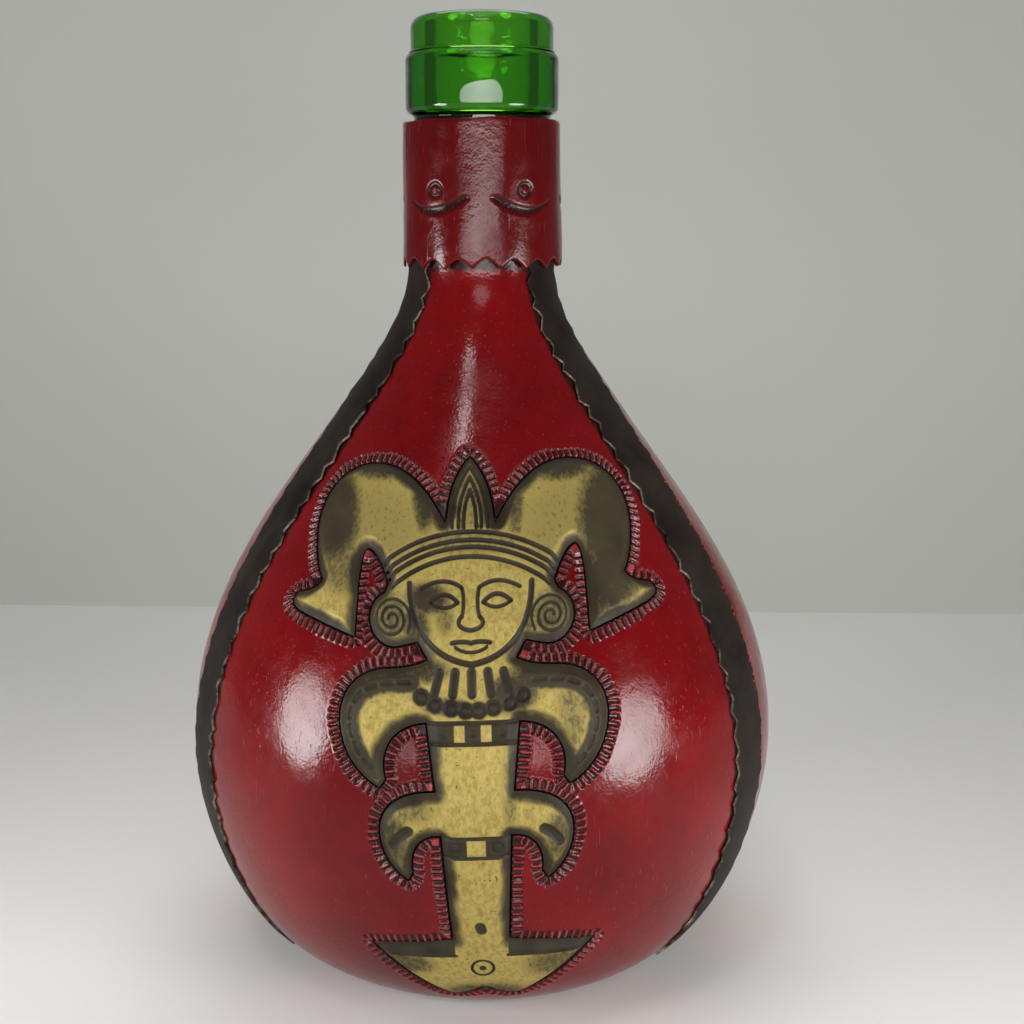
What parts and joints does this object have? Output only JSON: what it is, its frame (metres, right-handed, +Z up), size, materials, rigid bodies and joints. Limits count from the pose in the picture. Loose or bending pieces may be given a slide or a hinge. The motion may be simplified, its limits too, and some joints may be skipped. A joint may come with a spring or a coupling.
{
  "type": "leather-wrapped glass bottle",
  "caption": "Pear-shaped green glass bottle in a red leather coat with dark seam strips, a neck sleeve and a raised gilt figure on the front; holds liquid.",
  "frame": {"origin": "on the table under the bottle's axis, at the middle of the foot disc's lower face", "axes": "+Z up along the bottle's axis, -Y towards the front with the gilt figure, +X to the right seen from the front"},
  "size_m": [0.1182, 0.1205, 0.185],
  "materials": {
    "green_glass": "clear bottle green, fire polished",
    "red_leather": "dyed crimson and lacquered, glossy with fine scuffs",
    "dark_leather": "brown-black, waxed satin",
    "gilt_leather": "gold paint rubbed over a dark stain, satin",
    "filling": "packed leather dust and glue, matt",
    "sole_leather": "undyed sole leather, matt"
  },
  "bodies": {
    "root": {"glass_bottle": "green_glass", "front_panel": "red_leather", "back_left_panel": "red_leather", "back_right_panel": "red_leather", "left_seam_strip": "dark_leather", "right_seam_strip": "dark_leather", "back_seam_strip": "dark_leather", "neck_sleeve": "red_leather", "gilt_figure": "gilt_leather", "figure_filling": "filling", "foot_disc": "sole_leather"}
  },
  "joints": []
}
